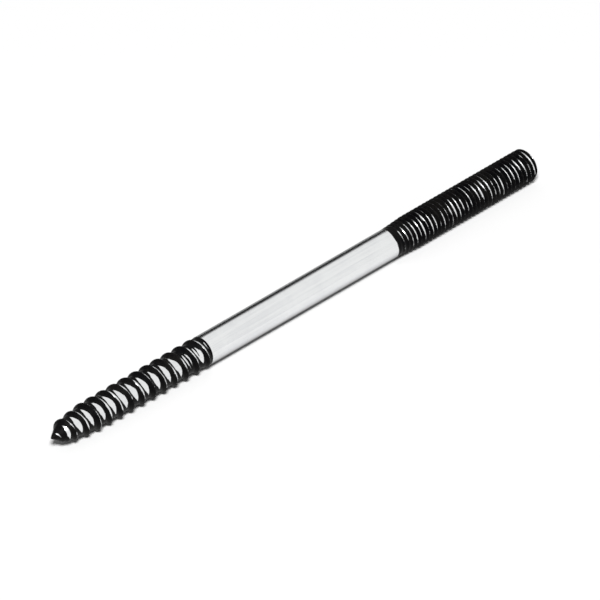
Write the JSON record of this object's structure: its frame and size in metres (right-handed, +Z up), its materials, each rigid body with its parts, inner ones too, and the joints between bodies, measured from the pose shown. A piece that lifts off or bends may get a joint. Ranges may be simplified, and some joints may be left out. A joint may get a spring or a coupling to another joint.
{
  "type": "threaded rod",
  "caption": "Headless steel rod with a machine thread at one end, a plain shank and a pointed wood-screw thread at the other, for hanging or joining fixtures to timber.",
  "frame": {"origin": "on the ground plane under the middle of the rod, which lies on its side", "axes": "+X along the rod towards its flat, machine-threaded end, -X towards the point, +Z up"},
  "size_m": [0.15, 0.008, 0.008],
  "materials": {
    "steel": "bright rolled and drawn steel with a thin zinc coat, satin on the shank and darker in the thread grooves"
  },
  "bodies": {
    "root": {"threaded_rod": "steel"}
  },
  "joints": []
}
